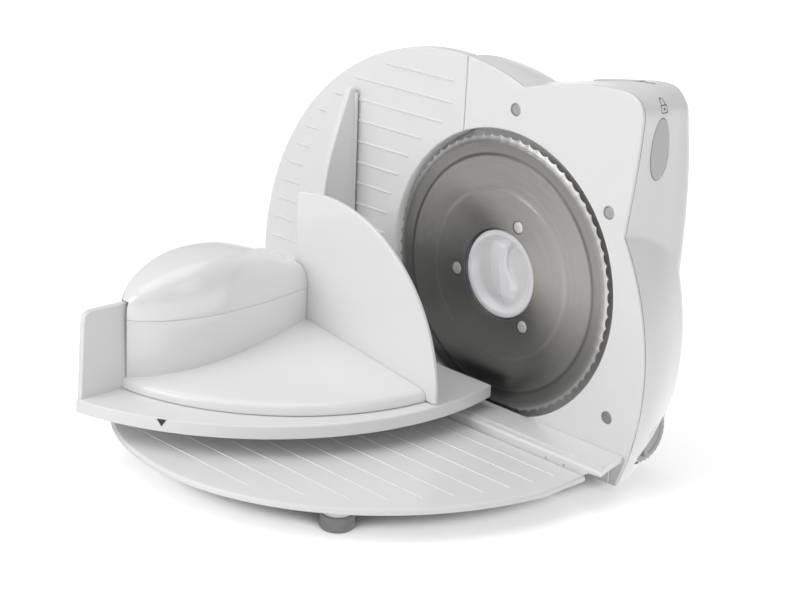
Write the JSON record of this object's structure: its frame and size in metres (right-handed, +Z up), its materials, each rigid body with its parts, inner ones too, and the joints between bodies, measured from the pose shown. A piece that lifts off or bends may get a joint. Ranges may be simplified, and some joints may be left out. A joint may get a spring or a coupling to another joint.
{
  "type": "electric food slicer",
  "caption": "Household food slicer with round serrated blade, ribbed stop plate, sliding carriage, food holder and folding table.",
  "frame": {"origin": "centre of the footprint at worktop height", "axes": "+X along the carriage travel, +Y from the table into the machine, +Z up"},
  "size_m": [0.3291, 0.274, 0.2374],
  "materials": {
    "housing_white": "smooth satin moulding",
    "holder_white": "smooth glossy moulding",
    "blade_steel": "brushed round the axis",
    "zinc_plate": "plain rolled sheet",
    "steel_rod": "ground bar",
    "screw_zinc": "plated screw",
    "dark_plastic": "matte moulding",
    "ferrite": "sintered",
    "carbon": "pressed carbon",
    "grey_rubber": "matte rubber",
    "pale_plastic": "matte moulding",
    "gear_plastic": "waxy gear moulding",
    "knob_plastic": "milky translucent moulding",
    "copper": "bare copper segments",
    "button_grey": "satin moulding"
  },
  "bodies": {
    "chassis": {"base_foot_1": "grey_rubber", "base_foot_2": "grey_rubber", "base_foot_3": "grey_rubber", "base_foot_4": "grey_rubber", "base_rail": "housing_white", "blade_axle": "steel_rod", "brush_left": "carbon", "brush_right": "carbon", "cable_bush": "grey_rubber", "face_screw_1": "screw_zinc", "face_screw_2": "screw_zinc", "face_screw_3": "screw_zinc", "face_screw_4": "screw_zinc", "front_panel": "housing_white", "gear_plate": "zinc_plate", "guide_rod_1": "steel_rod", "guide_rod_2": "steel_rod", "hinge_pin_1": "steel_rod", "hinge_pin_2": "steel_rod", "magnet_left": "ferrite", "magnet_right": "ferrite", "main_switch": "dark_plastic", "motor_can": "zinc_plate", "motor_cap": "dark_plastic", "plate_screw_1": "screw_zinc", "plate_screw_2": "screw_zinc", "plate_screw_3": "screw_zinc", "rear_housing": "housing_white"},
    "blade_drive": {"blade": "blade_steel", "blade_carrier": "pale_plastic", "worm_gear": "gear_plastic"},
    "knob": {"blade_knob": "knob_plastic"},
    "motor_rotor": {"motor_shaft": "steel_rod", "worm": "steel_rod", "armature": "zinc_plate", "commutator": "copper", "cooling_fan": "dark_plastic"},
    "power_slide": {"power_slide": "housing_white"},
    "lock_button": {"lock_button": "button_grey"},
    "dial": {"thickness_dial": "button_grey", "dial_shaft": "steel_rod", "dial_pinion": "gear_plastic"},
    "stop": {"stop_plate": "housing_white", "stop_slider": "pale_plastic"},
    "folding_table": {"table": "housing_white", "table_foot_1": "grey_rubber", "table_foot_2": "grey_rubber"},
    "carriage": {"carriage": "housing_white", "carriage_runner": "pale_plastic"},
    "holder": {"holder_body": "holder_white", "holder_plate": "holder_white"}
  },
  "joints": [
    {"name": "blade_spin", "type": "hinge", "parent": "chassis", "child": "blade_drive", "pos_m": [0.049, 0.11, 0.108], "axis": [0, 1, 0], "continuous": true},
    {"name": "motor_spin", "type": "hinge", "parent": "chassis", "child": "motor_rotor", "pos_m": [0.085, 0.11, 0.108], "axis": [0, 0, 1], "continuous": true},
    {"name": "knob_turn", "type": "hinge", "parent": "blade_drive", "child": "knob", "pos_m": [0.049, 0.084, 0.108], "axis": [0, 1, 0], "range_deg": [0, 60]},
    {"name": "power_slide_move", "type": "slide", "parent": "chassis", "child": "power_slide", "axis": [0, 1, 0], "range_m": [0, 0.005]},
    {"name": "lock_button_press", "type": "slide", "parent": "chassis", "child": "lock_button", "axis": [-1, 0, 0], "range_m": [0, 0.003], "stiffness_N_per_m": 200, "springref_m": -0.003},
    {"name": "dial_turn", "type": "hinge", "parent": "chassis", "child": "dial", "pos_m": [0.1495, 0.102, 0.034], "axis": [1, 0, 0], "range_deg": [0, 114.6]},
    {"name": "stop_plate_move", "type": "slide", "parent": "chassis", "child": "stop", "axis": [0, 1, 0], "range_m": [0, 0.012]},
    {"name": "table_fold", "type": "hinge", "parent": "chassis", "child": "folding_table", "pos_m": [-0.005, 0.0475, 0.012], "axis": [-1, 0, 0], "range_deg": [0, 3]},
    {"name": "carriage_move", "type": "slide", "parent": "chassis", "child": "carriage", "axis": [1, 0, 0], "range_m": [0, 0.11]},
    {"name": "holder_move", "type": "slide", "parent": "carriage", "child": "holder", "axis": [0, 1, 0], "range_m": [-0.02, 0.012]}
  ],
  "couplings": [
    {"joint": "motor_spin", "follows": "blade_spin", "ratio": 48},
    {"joint": "dial_turn", "follows": "stop_plate_move", "rad_per_m": 166.67}
  ]
}
